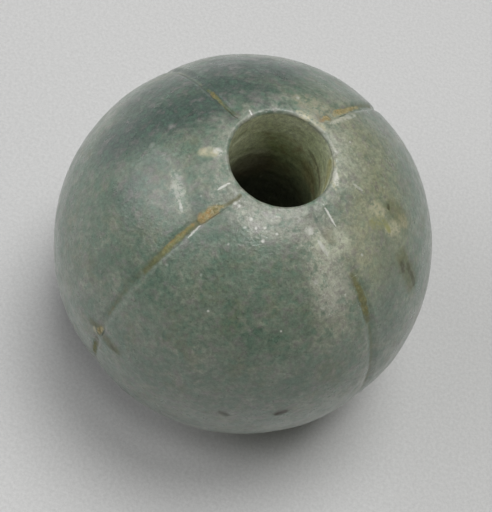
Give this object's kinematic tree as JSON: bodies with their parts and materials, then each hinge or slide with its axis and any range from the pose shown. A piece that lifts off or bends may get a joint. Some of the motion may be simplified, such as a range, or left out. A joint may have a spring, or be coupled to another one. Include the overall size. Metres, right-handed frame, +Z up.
{
  "type": "melon bead",
  "caption": "Drilled melon bead in green-grey stone: a near ball with cut grooves between unequal lobes, small ground end faces and a bore to string it on.",
  "frame": {"origin": "on the bore axis, in the plane of the lower ground face that the bead stands on, under the middle of its box", "axes": "+Z up along the bore axis; -Y towards the middle of the wide front lobe that faces the viewer; +X to the right"},
  "size_m": [0.0299, 0.03, 0.0286],
  "materials": {
    "stone": "old waxy polish with fine scratches, pale veins and darker green clouds",
    "ochre_residue": "dull, earthy, ochre to orange",
    "olive_residue": "dull, earthy, olive brown"
  },
  "bodies": {
    "root": {"bead_body": "stone", "residue_front_left_patch": "ochre_residue", "residue_front_left_streak": "olive_residue", "residue_front_left_chip": "ochre_residue", "residue_front_left_end": "olive_residue", "residue_back_left_band": "olive_residue", "residue_back_right_inner": "ochre_residue", "residue_back_right_outer": "ochre_residue", "residue_front_right_fill": "olive_residue"}
  },
  "joints": []
}
